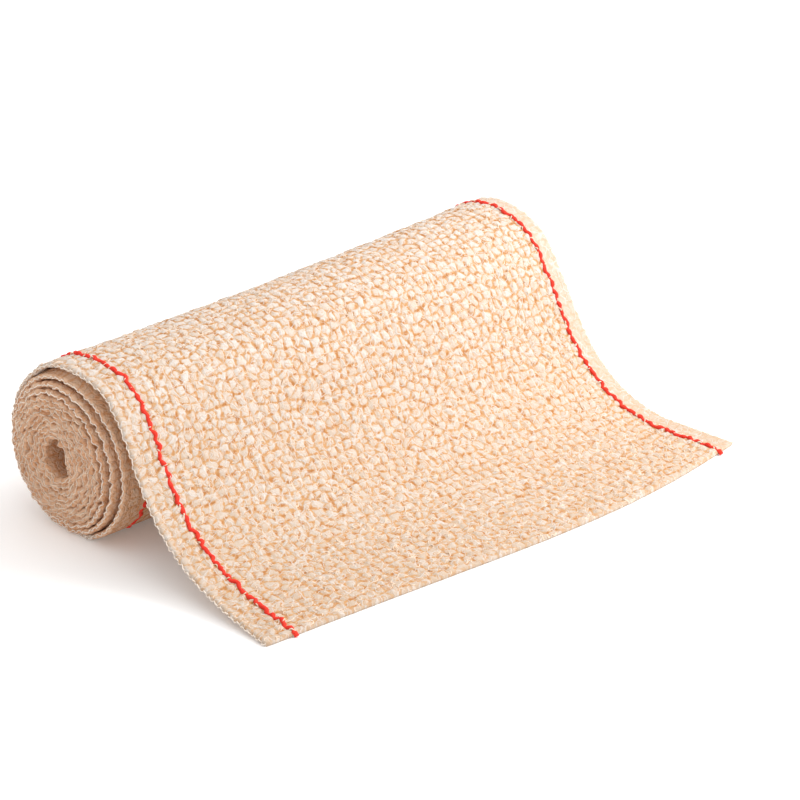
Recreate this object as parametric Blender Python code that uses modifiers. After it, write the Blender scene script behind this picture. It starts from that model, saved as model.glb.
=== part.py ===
"""Crepe bandage roll: one wide strip of crepe cloth, wound on itself, with its loose end
draped over the top of the roll and lying flat on the surface.

Lengths are metres. Y runs along the roll, +X the way the loose end lies, +Z is up.
The shape is worked out about the roll's own axis, with the surface at z = 0, and then moved so
that the origin is at the middle of the base of the whole thing.
"""

import math

import bmesh
import bpy
from mathutils import Vector

MM = 0.001

# The strip of cloth.
STRIP_WIDTH = 150 * MM
CLOTH = 1.25 * MM
GAP = 0.3 * MM

# The wound form. Its section is an oval that leans towards the loose end, round an open core
# that sits low and away from it. Angles are clockwise from the top, seen from the near end.
ROLL_HALF_LENGTH = 23.4 * MM
ROLL_HALF_HEIGHT = 21.7 * MM
ROLL_LONG_AXIS = math.radians(71)
ROLL_CENTRE = Vector((0, 20.6 * MM))
CORE_HALF_LENGTH = 4.6 * MM
CORE_HALF_HEIGHT = 3.1 * MM
CORE_LONG_AXIS = math.radians(-12)
CORE_CENTRE = Vector((-1.6 * MM, 20.3 * MM))
TURNS = 11

# The turns lie close at the back and under the roll, and loosely where the loose end hangs.
LOOSE_SIDE = math.radians(60)
CLOSE_PACKING = -0.12
LOOSE_PACKING = 1.0
LOOSE_FOCUS = 1.6

# The far end of the roll has opened like a trumpet along its top and back.
FLARE = 5.6 * MM
FLARE_SIDE = math.radians(-14)
FLARE_FOCUS = 2.2
FLARE_TURNS = 1.3
FLARE_START = 2.0
LIE_START = 0.7

# The turns stand out one past the other at the near end, and sink in at the far end.
STAGGER = 3.2 * MM
STAGGER_TURNS = 2.4
SHOULDER = 0.35 * MM
GROOVE = 0.7 * MM
GROOVE_PER_GAP = 1.3
RIM_ROUNDING = 0.2
LEAST_GAP = 0.2
RIM_WAVE = 0.25 * MM

# The loose end starts at a step on the upper back of the roll.
STEP_ANGLE = math.radians(-60)
# Middle of the cloth's thickness along its two edges, in millimetres from the roll's axis and
# from the surface: over the top of the roll, down the drape and out to the free end.
DRAPE_COLUMNS = ("near_x", "near_z", "far_x", "far_z")
DRAPE_ROWS = (
    (-13.1, 37.5, -15.9, 41.2),
    (-6.9, 41.5, -8.6, 46.2),
    (-0.2, 42.7, -0.8, 47.6),
    (7.4, 42.4, 7.2, 46.1),
    (15.3, 39.8, 14.3, 42.2),
    (22.0, 32.9, 20.5, 33.2),
    (27.8, 23.3, 26.9, 22.1),
    (35.0, 14.3, 34.2, 12.1),
    (44.3, 7.7, 44.1, 4.7),
    (54.9, 3.8, 56.2, 0.9),
    (65.4, 1.6, 69.2, 0.4),
    (74.2, 0.6, 80.4, 0.6),
)
NEAR_SPREAD = 4.6 * MM
FAR_SPREAD = 2.0 * MM
SPREAD_START = 0.4
END_BOW = 5.3 * MM
END_BOW_SKEW = 1.6
END_BOW_START = 0.55

# How finely the faces are cut.
STEPS_PER_TURN = 32
STEPS_ALONG_ROLL = 8
STEPS_ALONG_DRAPE = 60
STEPS_ACROSS_DRAPE = 16
RIM_COLUMNS = 4
SHARP_EDGE = math.radians(40)
WELD = 0.001 * MM

# The whole thing's reach to each side, which puts the origin under its middle.
ROLL_BACK = -25.05 * MM
END_REACH = 84.2 * MM
NEAR_REACH = -STRIP_WIDTH / 2 - NEAR_SPREAD
FAR_REACH = STRIP_WIDTH / 2 + FAR_SPREAD
ORIGIN = Vector(((ROLL_BACK + END_REACH) / 2, (NEAR_REACH + FAR_REACH) / 2, 0))

CLOTH_COLOUR = (0.80, 0.62, 0.44, 1)
CLOTH_ROUGHNESS = 0.92


def mix(a, b, share):
    """The value or point that lies this share of the way from a to b."""
    return a * (1 - share) + b * share


def ease(share):
    """A rise from 0 to 1 with level ends."""
    share = min(max(share, 0), 1)
    return share * share * (3 - 2 * share)


def bump(angle, middle, focus):
    """1 at the middle angle, falling to 0 opposite it. A higher focus makes it narrower."""
    return ((1 + math.cos(angle - middle)) / 2) ** focus


def direction(angle):
    """The way from the roll's axis at an angle clockwise from the top, in x and z."""
    return Vector((math.sin(angle), math.cos(angle)))


def oval(angle, centre, half_length, half_height, long_axis):
    """The point of a leaning oval that lies at this angle from its centre."""
    lean = angle - long_axis
    across = half_height * math.cos(lean)
    along = half_length * math.sin(lean)
    return centre + direction(angle) * (half_length * half_height / math.hypot(across, along))


def turn_angle(turns_in):
    """The angle reached after winding inwards this many turns from the step."""
    return STEP_ANGLE - 2 * math.pi * turns_in


def depth_share(turns_in):
    """How far the outside of this turn lies from the outer oval, 0, to the core, 1."""
    share = turns_in / (TURNS + 1)
    loose = bump(turn_angle(turns_in), LOOSE_SIDE, LOOSE_FOCUS)
    packing = mix(CLOSE_PACKING, LOOSE_PACKING, loose)
    return share * (1 + packing * (1 - share) ** 2)


def flare(turns_in, across):
    """How far the far end has opened out here. across is 0 at the near edge, 1 at the far."""
    around = bump(turn_angle(turns_in), FLARE_SIDE, FLARE_FOCUS)
    return FLARE * around * across**FLARE_START * math.exp(-turns_in / FLARE_TURNS)


def turn_outside(turns_in, across):
    """The outside of a turn, in x and z, never below the surface that the roll rests on."""
    angle = turn_angle(turns_in)
    outer = oval(angle, ROLL_CENTRE, ROLL_HALF_LENGTH, ROLL_HALF_HEIGHT, ROLL_LONG_AXIS)
    core = oval(angle, CORE_CENTRE, CORE_HALF_LENGTH, CORE_HALF_HEIGHT, CORE_LONG_AXIS)
    point = mix(outer, core, depth_share(turns_in))
    point += direction(angle) * flare(turns_in, across)
    point.y = max(point.y, 0)
    return point


def stagger(turns_in):
    """How far a turn is pushed out past the outermost one, towards the near end."""
    wave = RIM_WAVE * (math.sin(5.3 * turns_in) + math.sin(17.9 * turns_in))
    return STAGGER * (1 - math.exp(-turns_in / STAGGER_TURNS)) + wave * ease(turns_in)


def shoulder(turns_in, across):
    """How far a turn's outer corner lies below its rim: deeper inside the roll than outside."""
    inside = ease(4 * (turns_in - 1))
    pitch = (turn_outside(turns_in, across) - turn_outside(turns_in + 1, across)).length
    open_gap = max(pitch - CLOTH, 0)
    return SHOULDER + inside * (GROOVE - SHOULDER + GROOVE_PER_GAP * open_gap)


def rim_section(turns_in, across):
    """One turn's rim and the groove inside it: points in x and z, how far that turn stands out
    at the near end, and how deep each point lies below its rim."""
    outside = turn_outside(turns_in, across)
    next_outside = turn_outside(turns_in + 1, across)
    pitch = (outside - next_outside).length
    rim = min(CLOTH / pitch, 1 - LEAST_GAP)
    groove = GROOVE + GROOVE_PER_GAP * max(pitch - CLOTH, 0)
    out = stagger(turns_in)
    return (
        (outside, out, shoulder(turns_in, across)),
        (mix(outside, next_outside, RIM_ROUNDING * rim), out, 0),
        (mix(outside, next_outside, (1 - RIM_ROUNDING) * rim), out, 0),
        (mix(outside, next_outside, rim), out, groove),
        (next_outside, stagger(turns_in + 1), shoulder(turns_in + 1, across)),
    )


def end_point(turns_in, column, far):
    """A point on the near or far end of the roll. column counts across one turn's section."""
    point, out, depth = rim_section(turns_in, 1 if far else 0)[column]
    half = STRIP_WIDTH / 2 - depth
    return Vector((point.x, (half if far else -half) - out, point.y))


def wall_point(turns_in, column, across):
    """A point between the near and the far end, in line with one column of a turn's section."""
    near = end_point(turns_in, column, False)
    far = end_point(turns_in, column, True)
    point = rim_section(turns_in, across)[column][0]
    return Vector((point.x, mix(near.y, far.y, across), point.y))


def patch(form, columns, rows, place):
    """Adds a grid of faces whose corners are moved to place(share along, share across)."""
    made = bmesh.ops.create_grid(form, x_segments=columns, y_segments=rows, size=0.5)
    for corner in made["verts"]:
        corner.co = place(corner.co.x + 0.5, corner.co.y + 0.5)


def finish(form, name, material, collection):
    """Makes the object from the form, smooth but for its sharp edges."""
    mesh = bpy.data.meshes.new(name)
    form.to_mesh(mesh)
    form.free()
    mesh.shade_smooth()
    mesh.set_sharp_from_angle(angle=SHARP_EDGE)
    mesh.materials.append(material)
    made = bpy.data.objects.new(name, mesh)
    made.location = -ORIGIN
    collection.objects.link(made)
    return made


def make_roll(material, collection):
    """The wound body: two ends of spiral rims, the outside, the core, and a step at each."""
    form = bmesh.new()
    for far in (False, True):
        patch(
            form,
            TURNS * STEPS_PER_TURN,
            RIM_COLUMNS,
            lambda along, over: end_point(along * TURNS, round(over * RIM_COLUMNS), far),
        )
    for first_turn in (0, TURNS):
        patch(
            form,
            STEPS_PER_TURN,
            STEPS_ALONG_ROLL,
            lambda along, across: wall_point(first_turn + along, 0, across),
        )
        patch(
            form,
            RIM_COLUMNS,
            STEPS_ALONG_ROLL,
            lambda over, across: wall_point(first_turn, round(over * RIM_COLUMNS), across),
        )
    bmesh.ops.remove_doubles(form, verts=form.verts, dist=WELD)
    bmesh.ops.recalc_face_normals(form, faces=form.faces)
    return finish(form, "bandage_roll", material, collection)


def smooth_path(points, share):
    """The point this share of the way along a smooth curve through the points."""
    spans = len(points) - 1
    first = min(int(share * spans), spans - 1)
    part = share * spans - first
    before = points[first - 1] if first > 0 else 2 * points[0] - points[1]
    start = points[first]
    stop = points[first + 1]
    after = points[first + 2] if first + 2 <= spans else 2 * points[-1] - points[-2]
    bend = 3 * (start - stop) + after - before
    lean = 2 * before - 5 * start + 4 * stop - after
    return start + (stop - before + (lean + bend * part) * part) * part / 2


def drape_start(across):
    """Where the middle of the loose end's cloth meets the step, a gap away from it."""
    angle = STEP_ANGLE + GAP / ROLL_HALF_HEIGHT
    on_step = turn_outside(0, across)
    past_step = on_step + (direction(angle) - direction(STEP_ANGLE)) * on_step.length
    return past_step - direction(angle) * CLOTH / 2


def loose_end_point(along, across):
    """A point on the middle of the loose end's cloth. along is 0 at the step, 1 at the end."""
    share = across ** mix(FLARE_START, LIE_START, along)
    stations = [drape_start(across)]
    for row in DRAPE_ROWS:
        place = dict(zip(DRAPE_COLUMNS, row))
        near = Vector((place["near_x"], place["near_z"])) * MM
        far = Vector((place["far_x"], place["far_z"])) * MM
        stations.append(mix(near, far, share))
    point = smooth_path(stations, along)
    spread = min(max((along - SPREAD_START) / (1 - SPREAD_START), 0), 1)
    near_y = -STRIP_WIDTH / 2 - NEAR_SPREAD * spread
    far_y = STRIP_WIDTH / 2 + FAR_SPREAD * spread
    bow = END_BOW * math.sin(math.pi * across**END_BOW_SKEW)
    reach = ease((along - END_BOW_START) / (1 - END_BOW_START))
    return Vector((point.x + bow * reach, mix(near_y, far_y, across), max(point.y, CLOTH / 2)))


def make_loose_end(material, collection):
    """The sheet that leaves the roll over its top and lies out on the surface."""
    form = bmesh.new()
    patch(form, STEPS_ALONG_DRAPE, STEPS_ACROSS_DRAPE, loose_end_point)
    bmesh.ops.recalc_face_normals(form, faces=form.faces)
    made = finish(form, "loose_end", material, collection)
    thick = made.modifiers.new("cloth thickness", "SOLIDIFY")
    thick.thickness = CLOTH
    thick.offset = 0
    return made


def make_material(name, colour, roughness):
    """A plain woven finish in the cloth's own colour."""
    material = bpy.data.materials.new(name)
    material.use_nodes = True
    shader = material.node_tree.nodes["Principled BSDF"]
    shader.inputs["Base Color"].default_value = colour
    shader.inputs["Roughness"].default_value = roughness
    shader.inputs["Metallic"].default_value = 0
    return material


def main():
    for old in list(bpy.data.objects):
        bpy.data.objects.remove(old)
    collection = bpy.data.collections.new("crepe_bandage_roll")
    bpy.context.scene.collection.children.link(collection)
    make_roll(make_material("wound crepe", CLOTH_COLOUR, CLOTH_ROUGHNESS), collection)
    make_loose_end(make_material("loose crepe", CLOTH_COLOUR, CLOTH_ROUGHNESS), collection)


main()
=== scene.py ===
"""The looks of the crepe bandage roll.

The strip is made flat, the way it is woven: x runs from its free end inwards, y from its near
edge to its far edge, z through its thickness, all in metres. Its crepe relief, marker yarns,
curly strands and edge loops are made on that flat strip. Then lay() moves every point to its
place on the strip's path: up the drape, over the top of the roll and inwards turn by turn.
"""

import math

import bmesh
import bpy
import numpy as np
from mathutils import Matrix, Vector
from mathutils.bvhtree import BVHTree


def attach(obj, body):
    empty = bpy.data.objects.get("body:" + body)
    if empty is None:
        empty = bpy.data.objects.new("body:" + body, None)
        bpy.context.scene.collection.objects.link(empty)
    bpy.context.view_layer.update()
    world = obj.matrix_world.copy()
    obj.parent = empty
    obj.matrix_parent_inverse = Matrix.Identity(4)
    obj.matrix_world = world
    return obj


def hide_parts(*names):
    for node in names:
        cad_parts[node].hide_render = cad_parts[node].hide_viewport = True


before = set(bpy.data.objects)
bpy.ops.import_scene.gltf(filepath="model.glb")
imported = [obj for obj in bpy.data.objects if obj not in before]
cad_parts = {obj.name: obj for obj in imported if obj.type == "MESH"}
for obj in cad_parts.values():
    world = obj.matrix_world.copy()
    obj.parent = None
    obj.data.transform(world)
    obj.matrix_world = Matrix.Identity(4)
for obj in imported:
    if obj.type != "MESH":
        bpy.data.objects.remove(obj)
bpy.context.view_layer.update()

MM = 0.001
SEED = 7
MIDDLE = 0.5

# The strip and its wound form, as in the solids.
STRIP_WIDTH = 150 * MM
CLOTH = 1.25 * MM
ROLL_HALF_LENGTH = 23.4 * MM
ROLL_HALF_HEIGHT = 21.7 * MM
ROLL_LONG_AXIS = math.radians(71)
ROLL_CENTRE = np.array((0, 20.6 * MM))
CORE_HALF_LENGTH = 4.6 * MM
CORE_HALF_HEIGHT = 3.1 * MM
CORE_LONG_AXIS = math.radians(-12)
CORE_CENTRE = np.array((-1.6 * MM, 20.3 * MM))
TURNS = 11
LOOSE_SIDE = math.radians(60)
CLOSE_PACKING = -0.12
LOOSE_PACKING = 1.0
LOOSE_FOCUS = 1.6
FLARE = 5.6 * MM
FLARE_SIDE = math.radians(-14)
FLARE_FOCUS = 2.2
FLARE_TURNS = 1.3
FLARE_START = 2.0
LIE_START = 0.7
STAGGER = 3.2 * MM
STAGGER_TURNS = 2.4
RIM_WAVE = 0.25 * MM
RIM_WAVE_RATES = (5.3, 17.9)
STEP_ANGLE = math.radians(-60)
# Middle of the cloth's thickness down the drape, in millimetres from the roll's axis and from
# the surface: x and z along the near edge, then x and z along the far edge.
DRAPE_ROWS = (
    (-13.1, 37.5, -15.9, 41.2),
    (-6.9, 41.5, -8.6, 46.2),
    (-0.2, 42.7, -0.8, 47.6),
    (7.4, 42.4, 7.2, 46.1),
    (15.3, 39.8, 14.3, 42.2),
    (22.0, 32.9, 20.5, 33.2),
    (27.8, 23.3, 26.9, 22.1),
    (35.0, 14.3, 34.2, 12.1),
    (44.3, 7.7, 44.1, 4.7),
    (54.9, 3.8, 56.2, 0.9),
    (65.4, 1.6, 69.2, 0.4),
    (74.2, 0.6, 80.4, 0.6),
)
NEAR_SPREAD = 4.6 * MM
FAR_SPREAD = 2.0 * MM
SPREAD_START = 0.4
END_BOW = 5.3 * MM
END_BOW_SKEW = 1.6
END_BOW_START = 0.55
ROLL_BACK = -25.05 * MM
END_REACH = 84.2 * MM
NEAR_REACH = -STRIP_WIDTH / 2 - NEAR_SPREAD
FAR_REACH = STRIP_WIDTH / 2 + FAR_SPREAD
ORIGIN = np.array(((ROLL_BACK + END_REACH) / 2, (NEAR_REACH + FAR_REACH) / 2, 0))

# Where the path is read: turns count inwards from the step, and the loose end is -1 to 0.
FREE_END = -1.0
PAST_END = -1.02
STEP_LEAD = 0.056
PATH_STEPS = 6000
NUDGE_TURNS = 0.002
NUDGE_ACROSS = 0.004

# Sizes of the cloth as it is dressed.
HALF_THICK = 0.36 * MM
RELIEF = 0.52 * MM
WOUND_HALF_THICK = 0.66 * MM
WOUND_RELIEF = 0.16 * MM
SEAM_TURN = 0.40
LOOSE_TURNS = 3.0
LOOSE_TURNS_FADE = 1.5
LOOSE_THINNER = 0.66
LOOSE_THIN_FOCUS = 1

# The grid of each cloth: the spacing of its rows and columns, finer near its edges.
OUTER_ROW = 0.60 * MM
OUTER_COLUMN = 0.60 * MM
SELVEDGE_COLUMN = 0.45 * MM
SELVEDGE_FINE = 9 * MM
WOUND_ROW = 0.48 * MM
WOUND_COLUMN = 22 * MM
WOUND_EDGE_COLUMN = 0.60 * MM
WOUND_EDGE = 4 * MM
UNDER_EVERY = 3
WELD = 0.01 * MM
OVER_CLOTH = 10 * MM

# The rounded rim: how far out it goes in millimetres, and how high as a share of half the
# thickness, at each step from the top of the cloth to its underside.
RIM_STEPS = ((0.24, 0.70), (0.34, 0.0), (0.24, -0.70), (0.0, -1.0))
RIM_OUT = 0.34 * MM

# The turn inside the outermost one is thicker from a little way behind its rim, so that no
# dark gap shows between the two: by how much, at which angle, how far in and how far back.
SLIT_FILL = 1.1 * MM
SLIT_MIDDLE = math.radians(5)
SLIT_FOCUS = 8
SLIT_LAST_TURN = 1.3
SLIT_START = 0.6 * MM
SLIT_DEPTH = 2.5 * MM

# The puckered edges of the strip: slow crinkles, and short scallops between the threads.
CRINKLE_REACH = 2.5 * MM
CRINKLE_OUT = 0.24 * MM
CRINKLE_UP = 0.15 * MM
CRINKLE_LENGTHS = (7.3 * MM, 5.1 * MM, 3.7 * MM)
CRINKLE_START = 10 * MM
CRINKLE_TURNS = (0.8, 2.6)
LOOSE_CRINKLE = 0.30
SCALLOP_OUT = 0.20 * MM
SCALLOP_LENGTHS = (2.9 * MM, 2.1 * MM, 1.6 * MM)
NEAR_PHASE = 0
FAR_PHASE = 10

# The crepe: how far apart its puffs stand along and across the strip, how uneven they are, and
# how far and at what scale a slow wander, a tremble and a fine curl push them about.
PUFF_ALONG = 2.45 * MM
PUFF_ACROSS = 2.65 * MM
PUFF_JITTER = 0.68
PUFF_PUSHES = ((1.6 * MM, 60), (0.90 * MM, 270), (0.38 * MM, 620))
CRUMB_SCALE = 2.1
PUFF_RISE = (0.0, 0.24)
PUFF_HEIGHTS = (0.50, 1.0)
NAP_SCALE = 900
NAP_SHARE = 0.3

# Where the weave gets smoother near the strip's edges, and how much crepe is left there.
NEAR_SMOOTH = (0.3 * MM, 5 * MM)
NEAR_SMOOTH_SHARE = (0.60, 1.0)
FAR_SMOOTH = (STRIP_WIDTH - 6.4 * MM, STRIP_WIDTH - 4.4 * MM)
FAR_SMOOTH_SHARE = (1.0, 0.22)
END_SMOOTH = (0.3 * MM, 1.4 * MM)
END_SMOOTH_SHARE = (0.45, 1.0)

# Marker yarns: their places, their thickness and how they sway, swell and sink into the cloth.
NEAR_YARN = 7.5 * MM
FAR_YARN_TOP = 5.0 * MM
FAR_YARN_END = 6.5 * MM
YARN_START = -0.45 * MM
YARN_LAST_TURN = 0.62
YARN_STEP = 0.35 * MM
YARN_RADIUS = 0.55 * MM
YARN_ROUNDNESS = 2
YARN_SWAY = 0.26 * MM
YARN_SWAY_LENGTHS = (9.1 * MM, 6.3 * MM, 3.9 * MM, 2.7 * MM)
YARN_SWELL = 0.09
YARN_SWELL_UP = 0.10 * MM
YARN_SWELL_LENGTHS = (3.3 * MM, 2.5 * MM, 1.9 * MM)
YARN_PLUMP = 0.97
YARN_SPAN = 3
YARN_FOLLOW = 0.25
YARN_END_BEND = 0.6 * MM
YARN_END_DROP = 1.0 * MM
YARN_SUNK_TURNS = (0.30, 0.35, 0.415, 0.435)
YARN_SUNK = 1.2 * MM
NEAR_YARN_PHASE = 31
FAR_YARN_PHASE = 41

# Curly strands: where they lie, how far they turn in radians, how long they are and how high
# they stand in millimetres, and how thick they are as a share.
STRAND_COUNT = 3000
STRAND_RADIUS = 0.20 * MM
STRAND_POINTS = 5
STRAND_LAST_TURN = 0.32
STRAND_CROWDING = 1.15
STRAND_NEAR_MARGIN = 0.4 * MM
STRAND_FAR_MARGIN = 5.6 * MM
STRAND_ARC = (1.2, 4.2)
STRAND_REACH = (1.3, 3.0)
STRAND_LIFT = (0.0, 0.14)
STRAND_SINK = 0.13 * MM
STRAND_TIP = 0.55
STRAND_BELLY = 0.55
STRAND_SIZES = (0.7, 1.15)
# Picks: the strands among them that cross over a marker yarn, flatter and shorter. How far
# aside they lie is in millimetres.
PICK_SHARE = 0.03
PICK_SCATTER = 0.7
PICK_SIDES = (0.75, 0.25)
PICK_ASIDE = (0.2, 0.5)
PICK_ARC = 0.3
PICK_REACH = 0.6
PICK_LIFT = 0.60 * MM

# The thread loops along the edges: a thin yarn that goes back and forth, out and in, and over
# and under as it runs along.
LOOP_PITCH = 1.25 * MM
LOOP_STEP = 0.31 * MM
LOOP_RADIUS = 0.15 * MM
THREAD_ROUNDNESS = 0
LOOP_DRIFT = 0.9
LOOP_ALONG = 0.22 * MM
LOOP_SET = 0.04 * MM
LOOP_OUT = 0.17 * MM
LOOP_UP = 0.24 * MM
NEAR_LOOP_PHASE = 1
FAR_LOOP_PHASE = 2

# Colours of the crepe: its body, the tops of its puffs (partly painted light), its gaps (painted
# shade) and its deepest pits (darker painted shade).
CREAM_CREPE = (
    (0.59, 0.455, 0.345, 1),
    (0.66, 0.61, 0.57, 1),
    (0.54, 0.295, 0.135, 1),
    (0.44, 0.19, 0.065, 1),
)
# The wound turns on the roll's end: a darker, more orange copy of these colours, painted shade
# and warm bounce light for the shaded end of the roll.
SHADED_EDGE_CREPE = (
    (0.66, 0.38, 0.23, 1),
    (0.72, 0.50, 0.35, 1),
    (0.60, 0.29, 0.14, 1),
    (0.50, 0.21, 0.08, 1),
)
CREAM_BUMP = 0.07 * MM
EDGE_BUMP = 0.16 * MM
# Painted shade: the loose end is a little darker and more tan towards its free end, standing in
# for light that falls off there.
FREE_END_SHADE = (0.47, 0.33, 0.21, 1)
FREE_END_SHADE_REACH = 125 * MM
FREE_END_SHADE_SHARE = 0.52
# Colours of the yarns, from their dark fibres to their light ones.
CREAM_STRAND = ((0.70, 0.50, 0.35, 1), (0.80, 0.67, 0.55, 1))
PALE_LOOP = ((0.82, 0.68, 0.56, 1), (0.92, 0.83, 0.74, 1))
# The inner edge loops: a darker copy of the pale loops, painted shade on the roll's end.
SHADED_EDGE_LOOP = ((0.68, 0.52, 0.39, 1), (0.84, 0.71, 0.59, 1))
MARKER_RED = ((0.65, 0.026, 0.015, 1), (0.86, 0.060, 0.034, 1))

# How rough and how shiny the crepe and its yarns are, how fine their fibres look, and how
# strong and how deep their bumps are.
CREPE_ROUGHNESS = 0.95
CREPE_SHINE = 0.15
YARN_ROUGHNESS = 0.8
THREAD_FIBRES = 1800
THREAD_SHINE = 0.3
THREAD_BUMP = (0.5, 0.05 * MM)
MARKER_FIBRES = 900
MARKER_SHINE = 0.2
MARKER_FUZZ = 2200
MARKER_BUMP = (0.7, 0.2 * MM)

# How much fine detail a noise has, and what a ramp gives at its start and at its end.
SOFT = 1.0
DOWNY = 2.0
FUZZY = 3.0
WHOLE = (0.0, 1.0)
FALLING = (1.0, 0.0)

# The crepe's pattern of colour. A pair of numbers is where a change begins and ends, or what it
# goes from and to. CURL_LINES holds the scale, width and strength of each kind of line.
PATCH_SCALE = 560
FUZZ_SCALE = 2400
CURL_LINES = ((340, 0.030, 0.9), (600, 0.040, 0.45))
CURL_DETAIL = 0.6
CURL_CORE = 0.25
# The painted shadow beside each curl: how far aside it lies and how wide it is, as shares of the
# curl's width.
CURL_SHADOW_ASIDE = 2.0
CURL_SHADOW_WIDTH = (0.30, 0.85)
# Where the cream tops of the puffs, partly painted light, begin and end, and their random tones.
PUFF_TOP = (0.08, 0.24)
PUFF_TONES = (0.42, 1.0)
CRUMB_TOP = (0.0, 0.26)
CRUMB_TONES = (0.72, 1.0)
FUZZ_LIGHT = (0.46, 0.70)
FUZZ_SHARE = 0.18
SMOOTH_WEAVE = (0.2, 1.0)
SMOOTH_TONES = (0.45, 1.0)
GAP_PATCHES = (0.36, 0.60)
GAP_WIDTHS = (0.04, 0.25)
GAP_CORE = 0.30
FINE_GAP_WIDTH = (0.0, 0.15)
FINE_GAP_SHARE = (0.45, 0.0)
FINE_GAP_PATCHES = (0.46, 0.60)
CURL_SHADOW_PATCHES = (0.34, 0.58)
CURL_SHADOW_SHARE = (0.20, 0.85)
PIT_PATCHES = (0.52, 0.68)
STRAND_FUZZ = (0.30, 0.52)
STRAND_SHARE = (0.25, 0.75)
CRUMB_LUMP = 0.5
FUZZ_LUMP = 0.7
STRAND_LUMP = 1.2


def mix(a, b, share):
    """The value or point that lies this share of the way from a to b."""
    return a * (1 - share) + b * share


def ease(share):
    """A rise from 0 to 1 with level ends."""
    share = np.clip(share, 0, 1)
    return share * share * (3 - 2 * share)


# ---------------------------------------------------------------- the path of the strip


def bump(angle, middle, focus):
    """1 at the middle angle, falling to 0 opposite it."""
    return ((1 + np.cos(angle - middle)) / 2) ** focus


def direction(angle):
    """The way from the roll's axis at an angle clockwise from the top, in x and z."""
    return np.stack((np.sin(angle), np.cos(angle)), axis=-1)


def oval(angle, centre, half_length, half_height, long_axis):
    """The point of a leaning oval that lies at this angle from its centre."""
    lean = angle - long_axis
    reach = half_length * half_height
    reach = reach / np.hypot(half_height * np.cos(lean), half_length * np.sin(lean))
    return centre + direction(angle) * reach[..., None]


def turn_angle(turns):
    """The angle reached after winding inwards this many turns from the step."""
    return STEP_ANGLE - 2 * math.pi * turns


def wound_middle(turns, across):
    """The middle of the wound cloth's thickness, in x and z."""
    angle = turn_angle(turns)
    outer = oval(angle, ROLL_CENTRE, ROLL_HALF_LENGTH, ROLL_HALF_HEIGHT, ROLL_LONG_AXIS)
    core = oval(angle, CORE_CENTRE, CORE_HALF_LENGTH, CORE_HALF_HEIGHT, CORE_LONG_AXIS)
    share = turns / (TURNS + 1)
    packing = mix(CLOSE_PACKING, LOOSE_PACKING, bump(angle, LOOSE_SIDE, LOOSE_FOCUS))
    share = share * (1 + packing * (1 - share) ** 2)
    point = mix(outer, core, share[..., None])
    opened = FLARE * bump(angle, FLARE_SIDE, FLARE_FOCUS) * across**FLARE_START
    opened = opened * np.exp(-turns / FLARE_TURNS)
    point = point + direction(angle) * opened[..., None]
    point[..., 1] = np.maximum(point[..., 1], 0)
    return point - direction(angle) * CLOTH / 2


def stagger(turns):
    """How far a turn is pushed out past the outermost one, towards the near end."""
    wave = RIM_WAVE * sum(np.sin(rate * turns) for rate in RIM_WAVE_RATES)
    return STAGGER * (1 - np.exp(-turns / STAGGER_TURNS)) + wave * ease(turns)


def drape_station(index, share, across):
    """One of the places that the loose end passes through. 0 is the step of the roll."""
    rows = np.array(DRAPE_ROWS) * MM
    row = rows[np.clip(index - 1, 0, len(rows) - 1)]
    point = mix(row[..., :2], row[..., 2:], share[..., None])
    on_roll = wound_middle(np.where(index < 0, STEP_LEAD, 0.0), across)
    return np.where((index < 1)[..., None], on_roll, point)


def drape_middle(along, across):
    """The middle of the loose end's cloth, in x and z. along is 0 at the step, 1 at the end."""
    share = across ** mix(FLARE_START, LIE_START, np.minimum(along, 1))
    spans = len(DRAPE_ROWS)
    first = np.clip((along * spans).astype(int), 0, spans - 1)
    part = (along * spans - first)[..., None]
    before, start, stop, after = (
        drape_station(first + step, share, across) for step in (-1, 0, 1, 2)
    )
    after = np.where((first == spans - 1)[..., None], 2 * stop - start, after)
    bend = 3 * (start - stop) + after - before
    lean = 2 * before - 5 * start + 4 * stop - after
    return start + (stop - before + (lean + bend * part) * part) * part / 2


def strip_middle(turns, across):
    """The middle of the cloth's thickness anywhere on the strip, in metres from the origin."""
    inside = np.clip(across, 0, 1)
    along = np.maximum(-turns, 0)
    wound = wound_middle(np.maximum(turns, 0), inside)
    loose = drape_middle(along, inside)
    out = stagger(np.maximum(turns, 0))
    spread = np.clip((along - SPREAD_START) / (1 - SPREAD_START), 0, 1)
    near = -STRIP_WIDTH / 2 - NEAR_SPREAD * spread - out
    far = STRIP_WIDTH / 2 + FAR_SPREAD * spread - out
    bow = END_BOW * np.sin(math.pi * inside**END_BOW_SKEW)
    bow = bow * ease((along - END_BOW_START) / (1 - END_BOW_START))
    point = np.where((turns < 0)[..., None], loose, wound)
    x = point[..., 0] + bow
    z = np.maximum(point[..., 1], CLOTH / 2)
    return np.stack((x, mix(near, far, across), z), axis=-1) - ORIGIN


def measure_path():
    """How far each place on the path lies from the free end, along the middle of the strip."""
    turns = np.linspace(PAST_END, TURNS, PATH_STEPS)
    points = strip_middle(turns, np.full(PATH_STEPS, MIDDLE))
    steps = np.linalg.norm(np.diff(points, axis=0), axis=1)
    length = np.concatenate(((0,), np.cumsum(steps)))
    return turns, length - np.interp(FREE_END, turns, length)


TURN_AT, LENGTH_AT = measure_path()


def length_to(turns):
    """The length of strip from the free end to this place on the path."""
    return float(np.interp(turns, TURN_AT, LENGTH_AT))


def ripple(along, lengths, phase):
    """An uneven wave along the strip, about 1 high, made of waves of these lengths."""
    draw = np.random.default_rng(SEED + phase)
    starts = draw.uniform(0, 2 * math.pi, len(lengths))
    waves = zip(lengths, starts)
    parts = [np.sin(2 * math.pi * along / length + start) for length, start in waves]
    return sum(parts) / math.sqrt(len(lengths) / 2)


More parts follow.
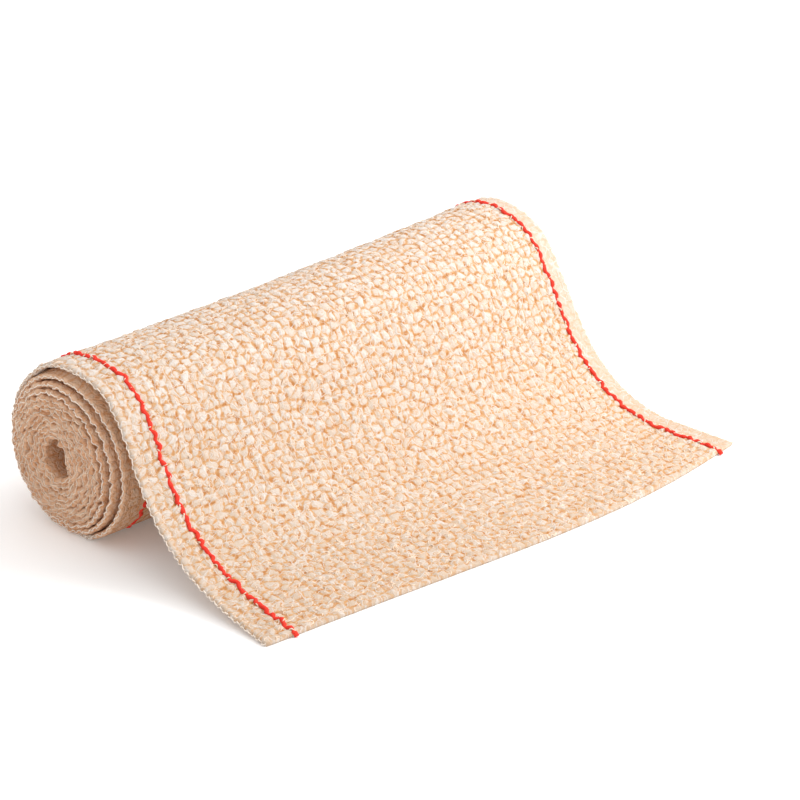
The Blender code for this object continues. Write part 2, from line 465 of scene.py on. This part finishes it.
def crinkle(flat):
    """How far the edges of the strip pucker: nothing in its middle, most along its rims."""
    along = flat[:, 0]
    near = np.exp(-np.maximum(flat[:, 1], 0) / CRINKLE_REACH)
    far = np.exp(-np.maximum(STRIP_WIDTH - flat[:, 1], 0) / CRINKLE_REACH)
    start, full = (length_to(turns) for turns in CRINKLE_TURNS)
    wound = ease((along - start) / (full - start))
    strength = mix(LOOSE_CRINKLE, 1.0, wound) * ease(along / CRINKLE_START)
    moved = np.zeros_like(flat)
    for share, phase in ((near, NEAR_PHASE), (far, FAR_PHASE)):
        moved[:, 1] += share * CRINKLE_OUT * ripple(along, CRINKLE_LENGTHS, phase)
        moved[:, 1] += share * SCALLOP_OUT * ripple(along, SCALLOP_LENGTHS, phase + 1)
        moved[:, 2] += share * CRINKLE_UP * ripple(along, SCALLOP_LENGTHS, phase + 2)
        moved[:, 2] += share * CRINKLE_UP * ripple(along, CRINKLE_LENGTHS, phase + 3)
    return moved * strength[:, None]


def lay(flat):
    """Moves points of the flat strip to where they lie on its path."""
    flat = flat + crinkle(flat)
    turns = np.interp(flat[:, 0], LENGTH_AT, TURN_AT)
    across = flat[:, 1] / STRIP_WIDTH
    inside = np.clip(across, NUDGE_ACROSS, 1 - NUDGE_ACROSS)
    along = strip_middle(turns + NUDGE_TURNS, inside) - strip_middle(turns - NUDGE_TURNS, inside)
    over = strip_middle(turns, inside + NUDGE_ACROSS) - strip_middle(turns, inside - NUDGE_ACROSS)
    outward = np.cross(over, along)
    outward /= np.linalg.norm(outward, axis=1)[:, None]
    placed = strip_middle(turns, across) + outward * flat[:, 2:]
    placed[:, 2] = np.maximum(placed[:, 2], 0)
    return placed


# ---------------------------------------------------------------- building nodes


def add_node(tree, kind, inputs=None, **settings):
    """Adds a node, sets it up and joins its inputs to values or to other nodes' outputs."""
    made = tree.nodes.new(kind)
    for name, value in settings.items():
        setattr(made, name, value)
    for key, value in (inputs or {}).items():
        if isinstance(value, bpy.types.NodeSocket):
            tree.links.new(value, made.inputs[key])
        else:
            made.inputs[key].default_value = value
    return made


def calculate(tree, operation, *values):
    """A sum, a product or the like of numbers."""
    inputs = dict(enumerate(values))
    return add_node(tree, "ShaderNodeMath", inputs, operation=operation).outputs[0]


def shift(tree, operation, *values):
    """The same for places and directions."""
    inputs = dict(enumerate(values))
    return add_node(tree, "ShaderNodeVectorMath", inputs, operation=operation).outputs[0]


def split(tree, place):
    return add_node(tree, "ShaderNodeSeparateXYZ", {0: place}).outputs


def ramp(tree, value, span, result=WHOLE):
    """A smooth step from one result to the other while the value goes over the span."""
    inputs = {"Value": value, "From Min": span[0], "From Max": span[1]}
    inputs.update({"To Min": result[0], "To Max": result[1]})
    made = add_node(tree, "ShaderNodeMapRange", inputs, interpolation_type="SMOOTHSTEP")
    return made.outputs["Result"]


def noise(tree, place, scale, detail, output="Fac"):
    inputs = {"Vector": place, "Scale": scale, "Detail": detail}
    return add_node(tree, "ShaderNodeTexNoise", inputs).outputs[output]


def cells(tree, place, scale, feature, output):
    """A pattern of uneven cells, one to each puff at a scale of 1."""
    inputs = {"Vector": place, "Scale": scale, "Randomness": PUFF_JITTER}
    made = add_node(
        tree, "ShaderNodeTexVoronoi", inputs, voronoi_dimensions="2D", feature=feature
    )
    return made.outputs[output]


def crepe(tree, place):
    """The puffs of the crepe at a place on the flat strip: how far inside a puff the place is,
    the puff's own random numbers, and how far inside one of its finer crumbs the place is."""
    start = place
    centre = (MIDDLE, MIDDLE, MIDDLE)
    for reach, scale in PUFF_PUSHES:
        push = shift(tree, "SUBTRACT", noise(tree, start, scale, SOFT, "Color"), centre)
        place = shift(tree, "MULTIPLY_ADD", push, (2 * reach, 2 * reach, 0), place)
    place = shift(tree, "MULTIPLY", place, (1 / PUFF_ALONG, 1 / PUFF_ACROSS, 0))
    inside = cells(tree, place, 1.0, "DISTANCE_TO_EDGE", "Distance")
    own = cells(tree, place, 1.0, "F1", "Color")
    crumbs = cells(tree, place, CRUMB_SCALE, "DISTANCE_TO_EDGE", "Distance")
    return inside, split(tree, own), crumbs


def body_share(tree, place):
    """1 in the body of the cloth, less near its edges, where it is woven smoother."""
    axes = split(tree, place)
    near = ramp(tree, axes["Y"], NEAR_SMOOTH, NEAR_SMOOTH_SHARE)
    far = ramp(tree, axes["Y"], FAR_SMOOTH, FAR_SMOOTH_SHARE)
    end = ramp(tree, axes["X"], END_SMOOTH, END_SMOOTH_SHARE)
    return calculate(tree, "MULTIPLY", calculate(tree, "MULTIPLY", near, far), end)


def puff_height(tree, place):
    """How high the cloth stands here, from 0 in the gaps to about 1 on the puffs."""
    inside, own, _ = crepe(tree, place)
    dome = ramp(tree, inside, PUFF_RISE)
    tall = ramp(tree, own[0], WHOLE, PUFF_HEIGHTS)
    body = calculate(tree, "MULTIPLY", dome, tall)
    body = calculate(tree, "MULTIPLY", body, body_share(tree, place))
    nap = noise(tree, place, NAP_SCALE, DOWNY)
    return calculate(tree, "MULTIPLY_ADD", nap, NAP_SHARE, body)


def relief_nodes(name, height):
    """Geometry nodes that raise the crepe's puffs out of both faces of the flat strip. The
    height is for a face that lies HALF_THICK from the middle, and is in proportion to that."""
    tree = bpy.data.node_groups.new(name, "GeometryNodeTree")
    for way in ("INPUT", "OUTPUT"):
        tree.interface.new_socket("Geometry", in_out=way, socket_type="NodeSocketGeometry")
    inlet = add_node(tree, "NodeGroupInput")
    place = add_node(tree, "GeometryNodeInputPosition").outputs[0]
    on_face = calculate(tree, "DIVIDE", split(tree, place)["Z"], HALF_THICK)
    flat = shift(tree, "MULTIPLY", place, (1, 1, 0))
    raised = calculate(tree, "MULTIPLY", puff_height(tree, flat), on_face)
    raised = calculate(tree, "MULTIPLY", raised, height)
    offset = add_node(tree, "ShaderNodeCombineXYZ", {"Z": raised}).outputs[0]
    inputs = {"Geometry": inlet.outputs[0], "Offset": offset}
    moved = add_node(tree, "GeometryNodeSetPosition", inputs)
    add_node(tree, "NodeGroupOutput", {0: moved.outputs[0]})
    return tree


# ---------------------------------------------------------------- materials


def start_material(name):
    material = bpy.data.materials.new(name)
    material.use_nodes = True
    return material, material.node_tree, material.node_tree.nodes["Principled BSDF"]


def finish_material(tree, shader, colour, roughness, shine):
    tree.links.new(colour, shader.inputs["Base Color"])
    shader.inputs["Roughness"].default_value = roughness
    shader.inputs["Specular IOR Level"].default_value = shine


def roughen(tree, shader, height, strength, depth):
    """The finest threads and fibres, as a bump of this depth."""
    inputs = {"Strength": strength, "Distance": depth, "Height": height}
    relief = add_node(tree, "ShaderNodeBump", inputs).outputs[0]
    tree.links.new(relief, shader.inputs["Normal"])


def blend_colour(tree, share, start, stop):
    inputs = {"Factor": share, "A": start, "B": stop}
    return add_node(tree, "ShaderNodeMix", inputs, data_type="RGBA").outputs["Result"]


def curl_lines(tree, place):
    """Bright lines along the curls of the threads, and painted shadows beside them. Each line
    runs where a soft noise crosses its middle value, and its painted shadow a little to one side."""
    strand = 0.0
    curl_shadow = 0.0
    for scale, width, strength in CURL_LINES:
        curly = noise(tree, place, scale, CURL_DETAIL)
        off_line = calculate(tree, "ABSOLUTE", calculate(tree, "SUBTRACT", curly, MIDDLE))
        line = ramp(tree, off_line, (width * CURL_CORE, width), (strength, 0.0))
        strand = calculate(tree, "MAXIMUM", strand, line)
        side = MIDDLE + CURL_SHADOW_ASIDE * width
        off_side = calculate(tree, "ABSOLUTE", calculate(tree, "SUBTRACT", curly, side))
        span = (width * CURL_SHADOW_WIDTH[0], width * CURL_SHADOW_WIDTH[1])
        line = ramp(tree, off_side, span, (strength, 0.0))
        curl_shadow = calculate(tree, "MAXIMUM", curl_shadow, line)
    return strand, curl_shadow


def cloth_material(name, colours, bump_depth):
    """Crepe: puffs edged by curly cream strands on a peach ground, with painted light on the puff
    tops and warm painted shade in the gaps between them and beside the curls.
    """
    body, cream, gap_shade, pit_shade = colours
    material, tree, shader = start_material(name)
    place = add_node(tree, "ShaderNodeUVMap", uv_map="strip").outputs[0]
    inside, own, crumbs = crepe(tree, place)
    share = body_share(tree, place)
    patchy = noise(tree, place, PATCH_SCALE, SOFT)
    fuzz = noise(tree, place, FUZZ_SCALE, FUZZY)
    strand, curl_shadow = curl_lines(tree, place)

    # The ground: cream on the tops of the puffs, partly the thread's own colour and partly
    # painted light, and painted shade in tan towards the free end.
    puff = ramp(tree, inside, PUFF_TOP)
    crumb = ramp(tree, crumbs, CRUMB_TOP)
    lit = calculate(tree, "MULTIPLY", puff, ramp(tree, own[2], WHOLE, PUFF_TONES))
    lit = calculate(tree, "MULTIPLY", lit, ramp(tree, crumb, WHOLE, CRUMB_TONES))
    lit = calculate(tree, "MULTIPLY_ADD", ramp(tree, fuzz, FUZZ_LIGHT), FUZZ_SHARE, lit)
    lit = calculate(tree, "MULTIPLY", lit, ramp(tree, share, SMOOTH_WEAVE, SMOOTH_TONES))
    base = blend_colour(tree, lit, body, cream)
    along = split(tree, place)["X"]
    # Painted shade: more tan towards the free end.
    free_end_shade_share = ramp(tree, along, (0.0, FREE_END_SHADE_REACH), (FREE_END_SHADE_SHARE, 0.0))
    base = blend_colour(tree, free_end_shade_share, base, FREE_END_SHADE)

    # The gaps between the puffs get painted shade, wide in some patches and closed in others.
    width = ramp(tree, patchy, GAP_PATCHES, GAP_WIDTHS)
    core = calculate(tree, "MULTIPLY", width, GAP_CORE)
    gap_shade_share = ramp(tree, inside, (core, width), FALLING)
    fine_gap = ramp(tree, crumbs, FINE_GAP_WIDTH, FINE_GAP_SHARE)
    fine_gap = calculate(tree, "MULTIPLY", fine_gap, ramp(tree, patchy, FINE_GAP_PATCHES))
    gap_shade_share = calculate(tree, "MAXIMUM", gap_shade_share, fine_gap)
    gap_shade_share = calculate(tree, "MULTIPLY", gap_shade_share, share)
    # The painted shadows beside the curls, stronger in some patches, join the painted shade of
    # the gaps.
    in_patch = ramp(tree, patchy, CURL_SHADOW_PATCHES, CURL_SHADOW_SHARE)
    curl_shadow = calculate(tree, "MULTIPLY", curl_shadow, in_patch)
    curl_shadow = calculate(tree, "MULTIPLY", curl_shadow, share)
    gap_shade_share = calculate(tree, "MAXIMUM", gap_shade_share, curl_shadow)
    base = blend_colour(tree, gap_shade_share, base, gap_shade)
    # The deepest pits get a darker painted shade.
    pit_shade_share = calculate(tree, "MULTIPLY", gap_shade_share, ramp(tree, patchy, PIT_PATCHES))
    pit_shade_share = calculate(tree, "MULTIPLY", pit_shade_share, gap_shade_share)
    base = blend_colour(tree, pit_shade_share, base, pit_shade)

    # The curls of thread lie over both.
    strand = calculate(tree, "MULTIPLY", strand, ramp(tree, fuzz, STRAND_FUZZ, STRAND_SHARE))
    base = blend_colour(tree, strand, base, cream)
    finish_material(tree, shader, base, CREPE_ROUGHNESS, CREPE_SHINE)
    lump = calculate(tree, "MULTIPLY", fuzz, FUZZ_LUMP)
    lump = calculate(tree, "MULTIPLY_ADD", crumb, CRUMB_LUMP, lump)
    lump = calculate(tree, "MULTIPLY_ADD", strand, STRAND_LUMP, lump)
    roughen(tree, shader, lump, 1.0, bump_depth)
    return material


def yarn_material(name, colours, fibre_scale, shine):
    """Fine yarn, spun from dark and light fibres."""
    material, tree, shader = start_material(name)
    place = add_node(tree, "ShaderNodeTexCoord").outputs["Object"]
    fibres = noise(tree, place, fibre_scale, FUZZY)
    base = blend_colour(tree, fibres, *colours)
    finish_material(tree, shader, base, YARN_ROUGHNESS, shine)
    return material, tree, shader, place, fibres


def strand_material(name, colours):
    """Crepe thread in one of its colours; the darker copy for the inner edge loops is painted
    shade.
    """
    made = yarn_material(name, colours, THREAD_FIBRES, THREAD_SHINE)
    material, tree, shader, _, fibres = made
    roughen(tree, shader, fibres, *THREAD_BUMP)
    return material


def red_material():
    """Marker yarn, thicker and rougher than the crepe's thread."""
    made = yarn_material("marker yarn red", MARKER_RED, MARKER_FIBRES, MARKER_SHINE)
    material, tree, shader, place, _ = made
    roughen(tree, shader, noise(tree, place, MARKER_FUZZ, FUZZY), *MARKER_BUMP)
    return material


# ---------------------------------------------------------------- pieces


def finish_piece(mesh, name, material):
    """Lays the flat mesh on the strip's path and makes it a piece."""
    flat = np.empty(len(mesh.vertices) * 3)
    mesh.vertices.foreach_get("co", flat)
    placed = lay(flat.reshape(-1, 3))
    mesh.vertices.foreach_set("co", placed.ravel())
    mesh.flip_normals()
    mesh.update()
    mesh.shade_smooth()
    mesh.materials.clear()
    mesh.materials.append(material)
    piece = bpy.data.objects.new(name, mesh)
    bpy.context.scene.collection.objects.link(piece)
    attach(piece, "root")
    return piece


def evaluated(form, name, tree):
    """The form as a mesh, with the geometry nodes applied to it."""
    mesh = bpy.data.meshes.new(name)
    form.to_mesh(mesh)
    form.free()
    helper = bpy.data.objects.new(name + " flat", mesh)
    bpy.context.scene.collection.objects.link(helper)
    helper.modifiers.new("relief", "NODES").node_group = tree
    made = helper.evaluated_get(bpy.context.evaluated_depsgraph_get())
    mesh = bpy.data.meshes.new_from_object(made)
    bpy.data.objects.remove(helper)
    mesh.name = name
    return mesh


def stops(*ranges):
    """Places along a line, evenly spaced in each range of (start, stop, spacing)."""
    places = [ranges[0][0]]
    for start, stop, spacing in ranges:
        count = UNDER_EVERY * max(1, round((stop - start) / spacing / UNDER_EVERY))
        places += [start + (stop - start) * step / count for step in range(1, count + 1)]
    return places


def flat_grid(form, rows, columns, height):
    """A level grid of faces with its corners at these rows and columns."""
    far_row = len(rows) - 1
    far_column = len(columns) - 1
    made = bmesh.ops.create_grid(form, x_segments=far_row, y_segments=far_column, size=0.5)
    for corner in made["verts"]:
        row = rows[round((corner.co.x + 0.5) * far_row)]
        column = columns[round((corner.co.y + 0.5) * far_column)]
        corner.co = Vector((row, column, height))
    return made["verts"]


def past_side(value, places):
    """-1 at the first of the places, 1 at the last, 0 between them."""
    return (value > places[-1] - WELD) * 1 - (value < places[0] + WELD) * 1


def flat_cloth(rows, columns, half_thick):
    """A flat strip of cloth with rounded rims, fine on top and coarser underneath."""
    form = bmesh.new()
    flat_grid(form, rows, columns, half_thick)
    border = [edge for edge in form.edges if edge.is_boundary]
    for outset, height in RIM_STEPS:
        grown = bmesh.ops.extrude_edge_only(form, edges=border)["geom"]
        border = [x for x in grown if isinstance(x, bmesh.types.BMEdge) and x.is_boundary]
        for corner in {corner for edge in border for corner in edge.verts}:
            x = min(max(corner.co.x, rows[0]), rows[-1])
            y = min(max(corner.co.y, columns[0]), columns[-1])
            out_x = past_side(x, rows) * outset * MM
            out_y = past_side(y, columns) * outset * MM
            corner.co = Vector((x + out_x, y + out_y, height * half_thick))
    under = set(flat_grid(form, rows[::UNDER_EVERY], columns[::UNDER_EVERY], -half_thick))
    seam = [edge for edge in form.edges if edge.is_boundary and edge.verts[0] in under]
    bmesh.ops.subdivide_edges(form, edges=seam, cuts=UNDER_EVERY - 1)
    open_rim = [corner for corner in form.verts if corner.is_boundary]
    bmesh.ops.remove_doubles(form, verts=open_rim, dist=WELD)
    bmesh.ops.recalc_face_normals(form, faces=form.faces)
    strip = form.loops.layers.uv.new("strip")
    for face in form.faces:
        for loop in face.loops:
            loop[strip].uv = loop.vert.co.xy
    return form


def make_outer_cloth(material):
    """The loose end and the outermost half turn, down to a seam hidden under the roll."""
    rows = stops((RIM_OUT, length_to(SEAM_TURN), OUTER_ROW))
    columns = stops(
        (RIM_OUT, SELVEDGE_FINE, SELVEDGE_COLUMN),
        (SELVEDGE_FINE, STRIP_WIDTH - SELVEDGE_FINE, OUTER_COLUMN),
        (STRIP_WIDTH - SELVEDGE_FINE, STRIP_WIDTH - RIM_OUT, SELVEDGE_COLUMN),
    )
    form = flat_cloth(rows, columns, HALF_THICK)
    mesh = evaluated(form, "loose_cloth", relief_nodes("outer crepe relief", RELIEF))
    corners = [corner.co for corner in mesh.vertices]
    faces = [face.vertices for face in mesh.polygons]
    surface = BVHTree.FromPolygons(corners, faces)
    piece = finish_piece(mesh, "loose_cloth", material)
    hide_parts("loose_end")
    return piece, surface


def make_wound_cloth(material):
    """The wound turns inside it, in to the core. They are thinner on their loose side."""
    rows = stops((length_to(SEAM_TURN) - RIM_OUT, length_to(TURNS), WOUND_ROW))
    columns = stops(
        (RIM_OUT, WOUND_EDGE, WOUND_EDGE_COLUMN),
        (WOUND_EDGE, STRIP_WIDTH - WOUND_EDGE, WOUND_COLUMN),
        (STRIP_WIDTH - WOUND_EDGE, STRIP_WIDTH - RIM_OUT, WOUND_EDGE_COLUMN),
    )
    form = flat_cloth(rows, columns, WOUND_HALF_THICK)
    mesh = evaluated(form, "wound_cloth", relief_nodes("wound crepe relief", WOUND_RELIEF))
    for corner in mesh.vertices:
        turns = np.interp(corner.co.x, LENGTH_AT, TURN_AT)
        angle = turn_angle(turns)
        loose = 1 - ease((turns - LOOSE_TURNS) / LOOSE_TURNS_FADE)
        loose = loose * bump(angle, LOOSE_SIDE, LOOSE_THIN_FOCUS)
        corner.co.z *= mix(1.0, LOOSE_THINNER, loose)
        filled = bump(angle, SLIT_MIDDLE, SLIT_FOCUS) * (turns < SLIT_LAST_TURN)
        if corner.co.z > 0:
            corner.co.z += SLIT_FILL * filled * ease((corner.co.y - SLIT_START) / SLIT_DEPTH)
    piece = finish_piece(mesh, "wound_cloth", material)
    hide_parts("bandage_roll")
    return piece


def near_yarn_place(length):
    """How far from the near edge the near marker yarn runs, this far from the free end."""
    return np.full(len(length), NEAR_YARN)


def far_yarn_place(length):
    """The same for the far marker yarn, which is nearer to its edge on top of the roll."""
    inset = mix(FAR_YARN_END, FAR_YARN_TOP, ease(length / length_to(0)))
    return STRIP_WIDTH - inset


def heights(surface, flat):
    """How high the top of the flat cloth stands at these places."""
    down = Vector((0, 0, -1))
    found = []
    for along, across in flat:
        hit = surface.ray_cast(Vector((along, across, OVER_CLOTH)), down)[0]
        found.append(HALF_THICK if hit is None else hit.z)
    return np.array(found)


def tubes(name, lines, thickness, roundness, material):
    """A piece of round yarns along these lines of points on the flat strip. Each line also has
    its yarn's thickness at every point, as a share."""
    curve = bpy.data.curves.new(name, "CURVE")
    curve.dimensions = "3D"
    curve.bevel_depth = thickness
    curve.bevel_resolution = roundness
    curve.use_fill_caps = True
    for points, shares in lines:
        line = curve.splines.new("POLY")
        line.points.add(len(points) - 1)
        line.points.foreach_set("co", np.pad(points, ((0, 0), (0, 1))).ravel())
        line.points.foreach_set("radius", shares)
    helper = bpy.data.objects.new(name + " line", curve)
    bpy.context.scene.collection.objects.link(helper)
    mesh = bpy.data.meshes.new_from_object(
        helper.evaluated_get(bpy.context.evaluated_depsgraph_get())
    )
    bpy.data.objects.remove(helper)
    mesh.name = name
    return finish_piece(mesh, name, material)


def yarn_line(surface, place, phase):
    """The middle of a marker yarn, woven in along an edge of the strip, and its thickness. It
    starts bent down over the free end and sinks out of sight under the roll."""
    along = np.arange(YARN_START, length_to(YARN_LAST_TURN), YARN_STEP)
    across = place(along) + YARN_SWAY * ripple(along, YARN_SWAY_LENGTHS, phase)
    swell = ripple(along, YARN_SWELL_LENGTHS, phase + 1)
    height = heights(surface, np.stack((along, across), axis=1))
    window = 2 * YARN_SPAN + 1
    padded = np.pad(height, YARN_SPAN, "edge")
    smooth = np.convolve(padded, np.full(window, 1 / window), "valid")
    height = np.maximum(smooth, mix(smooth, height, YARN_FOLLOW)) + YARN_SWELL_UP * swell
    height = height - ease(-along / YARN_END_BEND) * YARN_END_DROP
    turns = np.interp(along, LENGTH_AT, TURN_AT)
    start, low, rise, stop = YARN_SUNK_TURNS
    sunk = ease((turns - start) / (low - start)) * (1 - ease((turns - rise) / (stop - rise)))
    height = height - sunk * YARN_SUNK
    return np.stack((along, across, height), axis=1), YARN_PLUMP + YARN_SWELL * swell


def strand_lines(surface):
    """Short curly strands that stand off the cloth, and picks that cross the marker yarns."""
    draw = np.random.default_rng(SEED)
    length = length_to(STRAND_LAST_TURN)
    count = STRAND_COUNT
    along = length * draw.uniform(0, 1, count) ** STRAND_CROWDING
    across = draw.uniform(STRAND_NEAR_MARGIN, STRIP_WIDTH - STRAND_FAR_MARGIN, count)
    heading = draw.uniform(0, 2 * math.pi, count)
    arc = draw.uniform(*STRAND_ARC, count) * draw.choice((-1, 1), count)
    reach = draw.uniform(*STRAND_REACH, count) * MM
    lift = draw.uniform(*STRAND_LIFT, count) * MM
    picks = round(count * PICK_SHARE)
    pairs = np.arange(picks) // 2 + draw.uniform(0, PICK_SCATTER, picks)
    along[:picks] = length * pairs / (picks / 2)
    on_far = np.arange(picks) % 2 == 1
    side = draw.choice((-1, 1), picks, p=PICK_SIDES) * draw.uniform(*PICK_ASIDE, picks) * MM
    yarns = (far_yarn_place(along[:picks]), near_yarn_place(along[:picks]))
    across[:picks] = np.where(on_far, *yarns) + side
    arc[:picks] *= PICK_ARC
    reach[:picks] *= PICK_REACH
    lift[:picks] = PICK_LIFT
    share = np.linspace(0, 1, STRAND_POINTS)
    way = heading[:, None] + arc[:, None] * (share[None, :] - MIDDLE)
    step = reach[:, None] / (STRAND_POINTS - 1)
    x = np.cumsum(np.cos(way) * step, axis=1)
    y = np.cumsum(np.sin(way) * step, axis=1)
    x = x - x.mean(axis=1, keepdims=True) + along[:, None]
    y = y - y.mean(axis=1, keepdims=True) + across[:, None]
    x = np.clip(x, 0, None)
    y = np.clip(y, 0, STRIP_WIDTH)
    places = np.stack((x.ravel(), y.ravel()), axis=1)
    z = heights(surface, places).reshape(x.shape)
    z = z + lift[:, None] * np.sin(math.pi * share) - STRAND_SINK
    shares = STRAND_TIP + STRAND_BELLY * np.sin(math.pi * share)
    sizes = draw.uniform(*STRAND_SIZES, count)
    return [
        (np.stack((x[i], y[i], z[i]), axis=1), shares * sizes[i]) for i in range(count)
    ]


def loop_line(start, stop, edge, outward, phase):
    """The tiny loops of yarn that close an edge of the strip."""
    run = np.arange(start, stop, LOOP_STEP)
    drift = LOOP_DRIFT * ripple(run, CRINKLE_LENGTHS, phase)
    beat = 2 * math.pi * run / LOOP_PITCH + drift
    along = run + LOOP_ALONG * np.sin(beat)
    across = edge + outward * (LOOP_SET + LOOP_OUT * np.cos(beat))
    height = LOOP_UP * np.sin(beat / 2 + phase)
    return np.stack((along, across, height), axis=1), np.full(len(run), 1.0)


def marker_yarn(name, surface, place, phase, look):
    line = yarn_line(surface, place, phase)
    return tubes(name, [line], YARN_RADIUS, YARN_ROUNDNESS, look)


def edge_loops(name, start, stop, look):
    """The loops along both edges, from one length of the strip to another."""
    near = loop_line(start, stop, 0, -1, NEAR_LOOP_PHASE)
    far = loop_line(start, stop, STRIP_WIDTH, 1, FAR_LOOP_PHASE)
    return tubes(name, [near, far], LOOP_RADIUS, THREAD_ROUNDNESS, look)


def main_pieces():
    outer_look = cloth_material("crepe cloth cream", CREAM_CREPE, CREAM_BUMP)
    # The wound turns wear the shaded copy of the crepe, as painted shade.
    shaded_wound_look = cloth_material("crepe cloth edges shaded", SHADED_EDGE_CREPE, EDGE_BUMP)
    red = red_material()
    cream = strand_material("crepe strand cream", CREAM_STRAND)
    pale = strand_material("crepe edge pale", PALE_LOOP)
    tan = strand_material("crepe edge loops shaded", SHADED_EDGE_LOOP)
    loose, surface = make_outer_cloth(outer_look)
    wound = make_wound_cloth(shaded_wound_look)
    near = marker_yarn("near_marker_yarn", surface, near_yarn_place, NEAR_YARN_PHASE, red)
    far = marker_yarn("far_marker_yarn", surface, far_yarn_place, FAR_YARN_PHASE, red)
    lines = strand_lines(surface)
    strands = tubes(
        "curly_strands", lines, STRAND_RADIUS, THREAD_ROUNDNESS, cream
    )
    turn_in = length_to(LOOSE_TURNS)
    loops = edge_loops("outer_edge_loops", 0, turn_in, pale)
    # The loops on the inner turns take the darker copy of the thread, as painted shade.
    wound_loops = edge_loops("inner_edge_loops", turn_in, length_to(TURNS), tan)


# ---------------------------------------------------------------- camera, floor and light


CAMERA_AZIMUTH = math.radians(45.33)
CAMERA_ELEVATION = math.radians(23.67)
CAMERA_DISTANCE = 600.1 * MM
CAMERA_TARGET = Vector((1.555, 5.58, 20.0)) * MM
LENS_MM = 108
SENSOR_MM = 36
CLIP_START = 10 * MM
FLOOR_SIZE = 8.0
FLOOR_COLOUR = (0.94, 0.94, 0.94, 1)
FLOOR_ROUGHNESS = 0.9
FLOOR_SHINE = 0.1
# The floor glows faintly warm: painted light that lifts the shadows on it, warm like light
# bounced off the cloth.
FLOOR_GLOW = (1.0, 0.90, 0.84, 1)
FLOOR_GLOW_STRENGTH = 0.11
FILL_STRENGTH = 0.86
TOP_STRENGTH = 0.68
TOP_SOFTNESS = math.radians(60)
TOP_FROM = Vector((0.25, 0.2, 1.0))
KEY_POWER = 2.05
KEY_SIZE = 0.30
KEY_PLACE = Vector((0.20, 0.30, 0.31))
KEY_AIM = Vector((0.0, 0.03, 0.02))


def make_camera():
    data = bpy.data.cameras.new("photo camera")
    data.lens = LENS_MM
    data.sensor_width = SENSOR_MM
    data.clip_start = CLIP_START
    camera = bpy.data.objects.new("photo camera", data)
    bpy.context.scene.collection.objects.link(camera)
    level = math.cos(CAMERA_ELEVATION)
    ahead_x = -math.sin(CAMERA_AZIMUTH) * level
    ahead_y = math.cos(CAMERA_AZIMUTH) * level
    ahead = Vector((ahead_x, ahead_y, -math.sin(CAMERA_ELEVATION)))
    camera.location = CAMERA_TARGET - ahead * CAMERA_DISTANCE
    camera.rotation_euler = ahead.to_track_quat("-Z", "Y").to_euler()
    bpy.context.scene.camera = camera


def make_floor():
    form = bmesh.new()
    bmesh.ops.create_grid(form, x_segments=1, y_segments=1, size=FLOOR_SIZE / 2)
    mesh = bpy.data.meshes.new("studio floor")
    form.to_mesh(mesh)
    form.free()
    material, _, shader = start_material("white studio floor")
    shader.inputs["Base Color"].default_value = FLOOR_COLOUR
    shader.inputs["Roughness"].default_value = FLOOR_ROUGHNESS
    shader.inputs["Specular IOR Level"].default_value = FLOOR_SHINE
    shader.inputs["Emission Color"].default_value = FLOOR_GLOW
    shader.inputs["Emission Strength"].default_value = FLOOR_GLOW_STRENGTH
    mesh.materials.append(material)
    floor = bpy.data.objects.new("studio floor", mesh)
    bpy.context.scene.collection.objects.link(floor)


def add_light(name, kind, power, way):
    """A light that shines this way."""
    data = bpy.data.lights.new(name, kind)
    data.energy = power
    light = bpy.data.objects.new(name, data)
    bpy.context.scene.collection.objects.link(light)
    light.rotation_euler = way.to_track_quat("-Z", "Y").to_euler()
    return light


def make_light():
    world = bpy.data.worlds.new("white room")
    world.use_nodes = True
    back = world.node_tree.nodes["Background"]
    back.inputs["Color"].default_value = (1, 1, 1, 1)
    back.inputs["Strength"].default_value = FILL_STRENGTH
    bpy.context.scene.world = world
    top = add_light("soft top light", "SUN", TOP_STRENGTH, -TOP_FROM)
    top.data.angle = TOP_SOFTNESS
    key = add_light("soft key", "AREA", KEY_POWER, KEY_AIM - KEY_PLACE)
    key.data.size = KEY_SIZE
    key.location = KEY_PLACE
    bpy.context.scene.view_settings.view_transform = "Standard"


make_camera()
make_floor()
make_light()
main_pieces()
